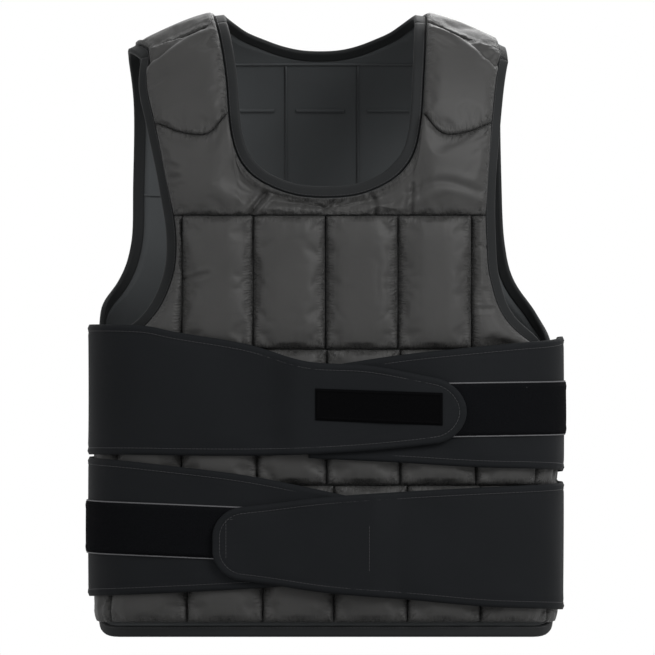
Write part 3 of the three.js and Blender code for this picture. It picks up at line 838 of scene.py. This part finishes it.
pads = {}
for side_name, side, step in (("front", front, front_cloth_step), ("back", back, back_cloth_step)):
    in_front = side is front
    middle = 0 if in_front else 2 * quarter_girth
    limit = 9.0 if in_front else back_quilt_edge * quarter_girth
    quilt = quilt_edges(side, (middle - limit, middle + limit))
    for row_name, low, high in pocket_rows:
        seams = front_seams[row_name] if in_front else back_seams
        lines = [middle + seam * quarter_girth for seam in seams]
        starts = [quilt["start"]] + [held(line + seam_width / 2) for line in lines]
        ends = [held(line - seam_width / 2) for line in lines] + [quilt["end"]]
        low_line = held(low * vest_height + seam_width / 2)
        high_line = held(high * vest_height - seam_width / 2)
        for i, (start_line, end_line) in enumerate(zip(starts, ends)):
            name = f"{side_name}_{row_name}_pocket_{i + 1}"
            pads[name] = (pad_places(start_line, end_line, low_line, high_line, step), pocket_depth)
    depth = shoulder_pad_depth if in_front else back_shoulder_depth
    for on_start in (True, False):
        hand = "left" if on_start == in_front else "right"
        places = shoulder_places(quilt, on_start, in_front, yoke_cloth_step if in_front else step)
        pads[f"{side_name}_shoulder_pad_{hand}"] = (places, depth)
    if in_front:
        pads["yoke"] = (yoke_places(quilt, yoke_cloth_step), yoke_depth)
    else:
        places = pad_places(
            quilt["start"], quilt["end"], held(quilt_top + seam_width / 2),
            held(back_pad_seam * vest_height - seam_width / 2), step,
        )
        pads["back_yoke"] = (places, yoke_depth)

charcoal_nylon, start, shader = new_finish("charcoal_nylon", 0.55, 0.2, 0.08, 0.35)
cloth, threads = weave(start, 0.0008)
seam = start.node("UVMap", {"uv_map": "seam"})
away = start.node("SeparateXYZ", {}, {0: seam}, 0)
drawn = start.node("Mapping", {}, {"Vector": seam, "Scale": (150.0, 430.0, 1.0)})
ragged = start.node("TexNoise", {"noise_dimensions": "2D"}, {"Vector": drawn, "Scale": 1.0, "Detail": 3.0})
near = start.node("MapRange", {}, {"Value": away, 1: 0.0, 2: 0.009, 3: 1.0, 4: 0.0})
notched = (ragged - 0.42) * 0.014 - away
notch_relief_and_painted_shade = start.node("MapRange", {}, {"Value": notched, 1: -0.0002, 2: 0.0005, 3: 0.0, 4: 1.0})
fuzz = start.node("TexNoise", {}, {"Vector": cloth, "Scale": 1100.0, "Detail": 3.0})
drift = start.node("TexNoise", {}, {"Vector": cloth, "Scale": 20.0, "Detail": 4.0})
crinkle = start.node("TexNoise", {}, {"Vector": cloth, "Scale": 90.0, "Detail": 4.0, "Distortion": 0.5})
# The colour is darkened in the ragged notches along the seams: painted shade in the gathers' folds. The
# same notches are also cut into the bump.
shade = (drift * 0.6 + fuzz * 0.4) * (1 - notch_relief_and_painted_shade * 0.45) - notch_relief_and_painted_shade * 0.2
plug(shader, "Base Color", two_tone(start, shade, (0.0128, 0.0128, 0.0125), (0.0285, 0.028, 0.0274)))
plug(shader, "Roughness", 0.48 + drift * 0.16)
fine = start.node("Bump", {}, {"Strength": 0.2, "Distance": 0.0002, "Height": threads * 0.5 + fuzz})
soft = start.node("Bump", {}, {"Strength": 0.2, "Distance": 0.001, "Height": crinkle, "Normal": fine})
folded = ragged * near - notch_relief_and_painted_shade * 0.6
relief = start.node("Bump", {}, {"Strength": 0.9, "Distance": 0.0022, "Height": folded, "Normal": soft})
plug(shader, "Normal", relief)


def rounded(border, depth, reach):
    """A pad's outer face before it is stuffed, flat on top and rounded down to its seams."""
    swell = np.sqrt(1 - (1 - np.clip(border / stuffing_edge, 0, 1)) ** 2)
    edge = min(pad_seam_depth, depth * seam_depth_share)
    top = np.maximum(edge, edge + (depth - stuffing_room - edge) * fullness(reach))
    return panel_wall + pad_clearance + edge + (top - edge) * swell


def stuff(pads):
    """Blows all the pads' cloth up at once, held along the seams, and says how far it moves."""
    cloth = bmesh.new()
    flat, outs, borders, firsts = [], [], [], [0]
    for places, depth in pads.values():
        flat_grid(cloth, places)
        border = np.minimum.reduce(from_border(places))
        flat.append(places.reshape(-1, 2))
        outs.append(rounded(border, depth, places[..., 0]).ravel())
        borders.append(border.ravel())
        firsts.append(firsts[-1] + border.size)
    mesh = bpy.data.meshes.new("stuffing")
    cloth.to_mesh(mesh)
    cloth.free()
    spots = np.empty(len(mesh.vertices), np.int32)
    mesh.attributes["spot"].data.foreach_get("value", spots)
    spots += np.repeat(firsts[:-1], np.diff(firsts)).astype(np.int32)
    reach, climb = np.concatenate(flat).T
    tops = laid(reach, climb, np.concatenate(outs))
    mesh.vertices.foreach_set("co", tops[spots].astype(np.float32).ravel())
    mesh.update()
    slack = bpy.data.objects.new("stuffing", mesh)
    bpy.context.scene.collection.objects.link(slack)
    seam = slack.vertex_groups.new(name="seam")
    seam.add(np.flatnonzero(np.concatenate(borders)[spots] < 1e-6).tolist(), 1.0, "REPLACE")

    blown = slack.modifiers.new("blown", "CLOTH")
    settings = blown.settings
    settings.quality = cloth_quality
    settings.mass = cloth_mass
    settings.tension_stiffness = cloth_stretch
    settings.compression_stiffness = cloth_stretch
    settings.shear_stiffness = cloth_shear
    settings.bending_stiffness = cloth_bend
    settings.vertex_group_mass = "seam"
    settings.shrink_min = -cloth_slack
    settings.use_pressure = True
    settings.uniform_pressure_force = cloth_pressure
    settings.effector_weights.gravity = 0
    blown.collision_settings.use_collision = False
    blown.point_cache.frame_start = 1
    blown.point_cache.frame_end = cloth_frames
    for step in range(1, cloth_frames + 1):
        bpy.context.scene.frame_set(step)
    shown = slack.evaluated_get(bpy.context.evaluated_depsgraph_get())
    found = np.empty(len(mesh.vertices) * 3, np.float32)
    shown.data.vertices.foreach_get("co", found)
    moves = np.empty_like(tops)
    moves[spots] = found.reshape(-1, 3).astype(float) - tops[spots]
    bpy.data.objects.remove(slack)
    bpy.data.meshes.remove(mesh)
    bpy.context.scene.frame_set(1)
    long = np.linalg.norm(moves, axis=1, keepdims=True)
    moves *= np.minimum(1, cloth_cap / np.maximum(long, 1e-9))
    return [moves[a:b] for a, b in zip(firsts[:-1], firsts[1:])]


gather_pitch = 0.0085
gather_depth = 0.0012
upright_gathers = 0.3
gather_length = 0.008
gather_uneven = 0.007
shortest_gather = 0.003
gather_start = 0.0015


def gathers(places, seed):
    """Small folds that run in from the seams, deep along the rows and slight up them."""
    left, right, low, high = from_border(places)
    reach, climb = places[..., 0], places[..., 1]
    folds = np.zeros_like(reach)
    for n, (away, along, depth) in enumerate((
        (low, reach, 1.0), (high, reach, 1.0),
        (left, climb, upright_gathers), (right, climb, upright_gathers),
    )):
        length = gather_length + gather_uneven * ripple(along, 0.031, seed + 50 + n)
        amount = 0.6 + 0.4 * ripple(along, 0.045, seed + 70 + n)
        fade = np.exp(-away / np.maximum(length, shortest_gather)) * (1 - np.exp(-away / gather_start))
        folds += depth * amount * fade * ripple(along, gather_pitch, seed + n)
    return folds * gather_depth


# Creases and tucks that last: the points of each as seen from the front, across from
# the vest's middle and up from its hem, then how wide and how deep it is.
creases = {
    "yoke": [
        (-0.0751, 0.4093, -0.0582, 0.4316, 0.0022, 0.0042),
        (-0.0690, 0.4083, -0.0525, 0.4290, 0.0018, -0.0024),
        (-0.0252, 0.4113, -0.0194, 0.4268, 0.0016, 0.0018),
        (-0.0058, 0.4103, 0.0068, 0.4239, 0.0017, 0.0022),
        (0.0068, 0.4113, -0.0058, 0.4200, 0.0014, 0.0016),
        (0.0107, 0.4200, 0.0194, 0.4268, 0.0015, 0.0018),
        (0.0417, 0.4316, 0.0470, 0.4240, 0.0485, 0.4093, 0.0020, 0.0034),
        (0.0830, 0.4093, 0.0830, 0.4404, 0.0017, 0.0020),
        (0.0795, 0.4316, 0.1125, 0.4423, 0.1503, 0.4320, 0.0035, 0.0018),
        (-0.1550, 0.4600, -0.1440, 0.4560, 0.0020, 0.0020),
        (-0.1520, 0.4460, -0.1430, 0.4470, 0.0020, 0.0020),
    ],
    "front_chest_pocket_2": [(-0.1397, 0.3472, -0.1145, 0.3521, 0.0018, 0.0022)],
    "front_chest_pocket_6": [
        (0.1436, 0.3182, 0.1620, 0.3176, 0.0016, 0.0020),
        (0.1436, 0.3792, 0.1560, 0.3782, 0.0016, 0.0018),
    ],
    "front_chest_pocket_1": [(-0.1500, 0.3560, -0.1400, 0.3572, 0.0014, 0.0018)],
    "front_belly_pocket_8": [(0.1805, 0.1490, 0.1930, 0.1600, 0.0020, 0.0018)],
    "front_shoulder_pad_left": [
        (-0.1765, 0.5558, -0.1571, 0.5694, -0.1348, 0.5854, -0.1167, 0.5946, 0.0034, 0.0042),
    ],
    "front_shoulder_pad_right": [
        (0.0960, 0.6004, 0.1106, 0.5960, 0.1300, 0.5853, 0.1503, 0.5700, 0.1649, 0.5568, 0.0034, 0.0042),
    ],
}


crease_lip = 0.35
lip_place = 2.2
lip_spread = 1.2


def creased(name, tops):
    """How far each place of a pad is drawn in by its creases, or pushed out beside them."""
    change = np.zeros(len(tops))
    seen = np.stack([tops[:, 0], tops[:, 2] + mount_height], axis=-1)
    for *places, wide, deep in creases.get(name, []):
        line = np.array(places).reshape(-1, 2)
        line = smooth_line(line, np.linspace(0, len(line) - 1, 12 * len(line)))
        off, along = nearest(seen, line)
        share = along / np.sum(np.hypot(*np.diff(line, axis=0).T))
        fade = eased(np.minimum(share, 1 - share) * 4 + 0.8)
        beside = np.exp(-((off - lip_place * wide) / (lip_spread * wide)) ** 2)
        change -= deep * fade * (np.exp(-(off / wide) ** 2) - crease_lip * beside)
    return change


def pad_base(reach, climb, level):
    return np.full(len(reach), panel_wall + 0.0003)


moves = stuff(pads)
for n, (name, (places, depth)) in enumerate(pads.items()):
    reach, climb = places[..., 0].ravel(), places[..., 1].ravel()
    left, right, low, high = (away.ravel() for away in from_border(places))
    border = np.minimum.reduce([left, right, low, high])
    along = np.where(np.minimum(left, right) < np.minimum(low, high), climb, reach)
    seam_map = np.stack([border, along + n], axis=-1)
    out = rounded(border, depth, reach)
    level_top = laid(reach, climb, out)
    away = laid(reach, climb, out + 0.001) - level_top
    away *= 1000
    rise = np.sum(moves[n] * away, axis=1) if np.ndim(moves[n]) else 0.0 * out
    ceiling = pad_room if name.startswith("back") else belt_lift
    room = ceiling(reach) - under_belt - out
    over = np.maximum(0, rise - (room - soft_room))
    settled = rise - over + soft_room * np.tanh(over / soft_room)
    folds = gathers(places, 100 + 7 * n).ravel() + creased(name, level_top)
    tops = level_top + moves[n] + away * (settled - rise + folds)[:, None]
    cloth = bmesh.new()
    flat_grid(cloth, places)
    close_wall(cloth)
    pad = sewn(name + "_cover", cloth, pad_base, charcoal_nylon, tops, seam_map)
    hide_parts(name)

# Four broad belts close over the front: two from each side of the back, cut from foam
# faced with smooth black jersey. The edges are turned in and stitched down all round.
belt_wall = 0.0035
layer_gap = 0.0006
band_wall = 0.0016
patch_wall = 0.001
tip_radius = 0.026
belt_root = 1.19
belt_step = 0.003
edge_fold = 0.0065
fold_rise = 0.0004
fold_ramp = 0.001
edge_round = 0.0016
edge_round_share = 0.45
groove_depth = 0.0006
groove_width = 0.0009
belt_pucker = 0.0002
belt_pucker_pitch = 0.012
belt_sway = 0.0007
belt_sway_pitch = 0.11
sway_start = 0.02

# A belt's rows: the share of a quarter girth from the front's middle, then its lower
# and upper edges as shares of the vest's height.
upper_flap_rows = [
    (-belt_root, 0.293, 0.499), (-0.82, 0.293, 0.502), (-0.6, 0.2925, 0.5),
    (-0.5, 0.2915, 0.49), (-0.26, 0.291, 0.4695), (-0.07, 0.293, 0.443),
    (0.145, 0.299, 0.436), (0.33, 0.308, 0.4195), (0.463, 0.318, 0.405),
]
upper_under_rows = [
    (belt_root, 0.262, 0.45), (1, 0.265, 0.481), (0.7, 0.27, 0.475),
    (0.5, 0.2725, 0.466), (0.245, 0.28, 0.4525), (-0.06, 0.287, 0.43),
]
lower_flap_rows = [
    (belt_root, 0.0435, 0.2555), (0.59, 0.047, 0.242), (0.27, 0.06, 0.2335),
    (0, 0.0705, 0.2245), (-0.22, 0.086, 0.212), (-0.377, 0.095, 0.204),
]
lower_under_rows = [
    (-belt_root, 0.0655, 0.293), (-0.74, 0.0665, 0.286), (-0.5, 0.071, 0.274),
    (-0.24, 0.078, 0.257), (0.12, 0.09, 0.222),
]
upper_band_rows = [(1.02, 0.328, 0.4105), (0.447, 0.323, 0.4065), (0.12, 0.32, 0.403)]
lower_band_rows = [
    (-1.02, 0.139, 0.22), (-0.8, 0.136, 0.2175), (-0.34, 0.126, 0.208), (0, 0.119, 0.201),
]
patch_rows = [(-0.036, 0.348, 0.399), (0.386, 0.3395, 0.392)]
upper_flap_climb = (-0.2, -0.09)
lower_flap_climb = (0.26, 0.15)


def belt_places(rows, tip=0.0, across=36, step=belt_step):
    """A belt's flat places: columns along it and rows across it, with a round tip."""
    root, last = rows[0][0] * quarter_girth, rows[-1][0] * quarter_girth
    count = round(abs(last - root) / step)
    along = np.linspace(root, last, count + 1)
    if tip:
        turn = np.linspace(0, math.pi / 2, 17)[1:]
        tip_start = last - np.sign(last - root) * tip
        along = along[np.abs(last - along) > tip + step / 2]
        along = np.concatenate([along, tip_start + np.sign(last - root) * tip * np.sin(turn)])
        along = np.insert(along, -len(turn), tip_start)
    from_tip = np.minimum(tip, np.abs(last - along))
    corner = tip - np.sqrt(np.maximum(0, tip ** 2 - (tip - from_tip) ** 2))
    low = through_rows(rows, along / quarter_girth, 1) * vest_height + corner
    high = through_rows(rows, along / quarter_girth, 2) * vest_height - corner
    if root > last:
        along, low, high = along[::-1], low[::-1], high[::-1]
    places = between(np.stack([along, low], axis=-1), np.stack([along, high], axis=-1), across)
    return places.transpose(1, 0, 2)


def rim_of(places):
    """The edge of a belt's flat places, once round and closed."""
    return np.vstack([places[0], places[1:, -1], places[-1, -2::-1], places[-2::-1, 0]])


def belt_cloth(places):
    cloth = bmesh.new()
    flat_grid(cloth, places)
    close_wall(cloth)
    return cloth


def belt_out(places, lift, wall, seed):
    """A belt's wall: rounded and a little thicker at its turned edge, and gently uneven."""
    edge = rim_of(places)

    def out_at(reach, climb, level):
        points = np.stack([reach, climb], axis=-1)
        from_edge, along = nearest(points, edge)
        inwards = 1 - np.clip(from_edge / edge_round, 0, 1)
        rounding = wall * edge_round_share * (1 - np.sqrt(1 - inwards ** 2))
        groove = groove_depth * np.exp(-((from_edge - edge_fold) / groove_width) ** 2)
        turned = fold_rise * eased((edge_fold - from_edge) / fold_ramp)
        pucker = ripple(along, belt_pucker_pitch, seed) * np.exp(-from_edge / belt_pucker_pitch)
        sway = ripple(reach + 0.3 * climb, belt_sway_pitch, seed + 1) * eased(from_edge / sway_start)
        sway = belt_sway * sway
        face = wall + turned + belt_pucker * pucker - groove - rounding
        return lift(reach) + sway + np.where(level > 0.5, face, rounding)
    return out_at


black_jersey, start, shader = new_finish("black_jersey", 0.75, 0.05, 0.01, 0.4)
cloth, threads = weave(start, 0.0009)
fuzz = start.node("TexNoise", {}, {"Vector": cloth, "Scale": 1400.0, "Detail": 3.0})
drift = start.node("TexNoise", {}, {"Vector": cloth, "Scale": 9.0, "Detail": 4.0})
shade = drift * 0.6 + fuzz * 0.4
plug(shader, "Base Color", two_tone(start, shade, (0.0028, 0.0032, 0.0037), (0.0072, 0.0079, 0.0089)))
relief = start.node("Bump", {}, {"Strength": 0.3, "Distance": 0.0002, "Height": threads * 0.5 + fuzz})
plug(shader, "Normal", relief)

band_lift = belt_wall + layer_gap
flap_lift = band_lift + band_wall + layer_gap
patch_lift = flap_lift + belt_wall + layer_gap


def over_flap_lift(climb):
    start, end = climb

    def lift(reach):
        share = (reach / quarter_girth - start) / (end - start)
        return belt_lift(reach) + flap_lift * eased(share)
    return lift


belts = {}
for name, rows, lift, tip, seed in (
    ("upper_under_belt", upper_under_rows, belt_lift, 0.0, 11),
    ("lower_under_belt", lower_under_rows, belt_lift, 0.0, 12),
    ("upper_flap", upper_flap_rows, over_flap_lift(upper_flap_climb), tip_radius, 13),
    ("lower_flap", lower_flap_rows, over_flap_lift(lower_flap_climb), tip_radius, 14),
):
    places = belt_places(rows, tip)
    cloth = belt_cloth(places)
    cut = flat_cut(cloth)
    belt = sewn(name + "_cloth", cloth, belt_out(places, lift, belt_wall, seed), black_jersey)
    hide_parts(name)
    belts[name] = (belt, cut)

# Loop tape for the hooks under the flaps' tips, sewn along the middle of each under belt.
loop_pile, start, shader = new_finish("loop_pile", 0.95, 0.01, 0.0, 0.6)
cloth = start.node("UVMap", {"uv_map": "cloth"})
pile = start.node("TexNoise", {}, {"Vector": cloth, "Scale": 700.0, "Detail": 5.0, "Roughness": 0.8})
plug(shader, "Base Color", two_tone(start, pile, (0.0005, 0.0005, 0.0007), (0.0055, 0.0058, 0.0066)))
plug(shader, "Normal", start.node("Bump", {}, {"Strength": 1.0, "Distance": 0.0012, "Height": pile}))


def on_under_belt(reach):
    return belt_lift(reach) + band_lift


selvage_width = 0.0013
selvage_wall = 0.0012
selvage_tuck = 0.0003
# The selvage is a real woven edge. Its pale grey colour, much lighter than the black pile, is a painted
# glint along each band's edge.
selvage_weave_and_glint, start, shader = new_finish("selvage_weave_and_glint", 0.6, 0.25)
cloth, threads = weave(start, 0.0007)
plug(shader, "Base Color", two_tone(start, threads * 0.5 + 0.5, (0.03, 0.03, 0.032), (0.07, 0.07, 0.074)))


def selvage_out(reach, climb, level):
    return on_under_belt(reach) - selvage_tuck + level * selvage_wall


bands = []
for name, rows in (("upper_loop_band", upper_band_rows), ("lower_loop_band", lower_band_rows)):
    places = belt_places(rows, 0.0, 12)
    pile_out = belt_out(places, on_under_belt, band_wall, 21)
    band = sewn(name + "_pile", belt_cloth(places), pile_out, loop_pile)
    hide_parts(name)
    selvage = bmesh.new()
    for line, turn in ((places[0], -1), (places[-1], 1)):
        flat_grid(selvage, between(moved(line, turn * selvage_width), line, 3))
    close_wall(selvage)
    bands.append([band, sewn(name + "_selvage", selvage, selvage_out, selvage_weave_and_glint)])

# The badge on the upper flap, moulded in soft black rubber with a fine raised rim. It
# is bare.
patch_rim = 0.0022
rim_height = 0.0006
rim_width = 0.0007
patch_edge_drop = 0.0004
patch_edge = 0.001
black_rubber, start, shader = new_finish("black_rubber", 0.7, 0.01)
cloth = start.node("UVMap", {"uv_map": "cloth"})
grain = start.node("TexNoise", {}, {"Vector": cloth, "Scale": 500.0, "Detail": 4.0})
plug(shader, "Base Color", two_tone(start, grain, (0.0005, 0.0005, 0.0006), (0.0015, 0.0015, 0.0017)))
plug(shader, "Normal", start.node("Bump", {}, {"Strength": 0.3, "Distance": 0.0002, "Height": grain}))


def on_flap(reach):
    return belt_lift(reach) + patch_lift


def patch_out(places):
    """The badge's wall: flat, with a fine raised line just inside its edge."""
    edge = rim_of(places)

    def out_at(reach, climb, level):
        from_edge, _ = nearest(np.stack([reach, climb], axis=-1), edge)
        rim = rim_height * np.exp(-((from_edge - patch_rim) / rim_width) ** 2)
        rounding = patch_edge_drop * (1 - eased(from_edge / patch_edge))
        return on_flap(reach) + np.where(level > 0.5, patch_wall - rounding + rim, 0)
    return out_at


places = belt_places(patch_rows, 0.0, 60, 0.001)
patch = sewn("bare_patch", belt_cloth(places), patch_out(places), black_rubber)
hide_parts("patch")

# What the belts are sewn with: a row round every turned edge, short rows across both
# flaps, and the rows that hold the loop tape.


def edge_row(places, drawn, tipped_last):
    """The stitched line inside a belt's edge, from its root round its tip and back."""
    if tipped_last:
        path = np.vstack([places[0], places[1:, -1], places[-1, -2::-1]])
    else:
        path = np.vstack([places[0, ::-1], places[1:, 0], places[-1, 1:]])
    line = moved(path, drawn if tipped_last else -drawn)
    clear, _ = nearest(line, path)
    return line[clear > drawn * 0.97]


def straight_row(from_place, to_place):
    """A stitched line between two places given across and up as seen from the front."""
    ends = np.array([from_place, to_place])
    return ends[0] + (ends[1] - ends[0]) * np.linspace(0, 1, 40)[:, None]


def on_wall(lift):
    return lambda reach: lift(reach) + belt_wall - thread_seat


upper_lift, lower_lift = over_flap_lift(upper_flap_climb), over_flap_lift(lower_flap_climb)
belt_stitches = []
for rows, lift, tip, tipped_last in (
    (upper_under_rows, belt_lift, 0.0, False),
    (lower_under_rows, belt_lift, 0.0, True),
    (upper_flap_rows, upper_lift, tip_radius, True),
    (lower_flap_rows, lower_lift, tip_radius, False),
):
    belt_stitches.append((edge_row(belt_places(rows, tip), edge_fold, tipped_last), on_wall(lift)))
belt_stitches.append((straight_row((-0.0155, 0.2464), (-0.0155, 0.2056)), on_wall(upper_lift)))
for place in (
    ((-0.0944, 0.1135), (-0.0944, 0.0752)), ((-0.0944, 0.1140), (-0.0805, 0.1140)),
    ((0.0417, 0.1077), (0.0417, 0.0640)),
):
    belt_stitches.append((straight_row(*place), on_wall(lower_lift)))
belt_thread = stitches("belt_thread", belt_stitches)

band_stitches = []
for rows in (upper_band_rows, lower_band_rows):
    places = belt_places(rows, 0.0, 12)
    for line in (places[1], places[-2]):
        band_stitches.append((line, lambda reach: on_under_belt(reach) + band_wall))
band_thread = stitches("band_thread", band_stitches)

for name, sewn_on in (
    ("upper_under_belt", [*bands[0], band_thread]), ("lower_under_belt", bands[1]),
    ("upper_flap", [patch, belt_thread]), ("lower_flap", []),
):
    belt, (flat_size, flat_area) = belts[name]
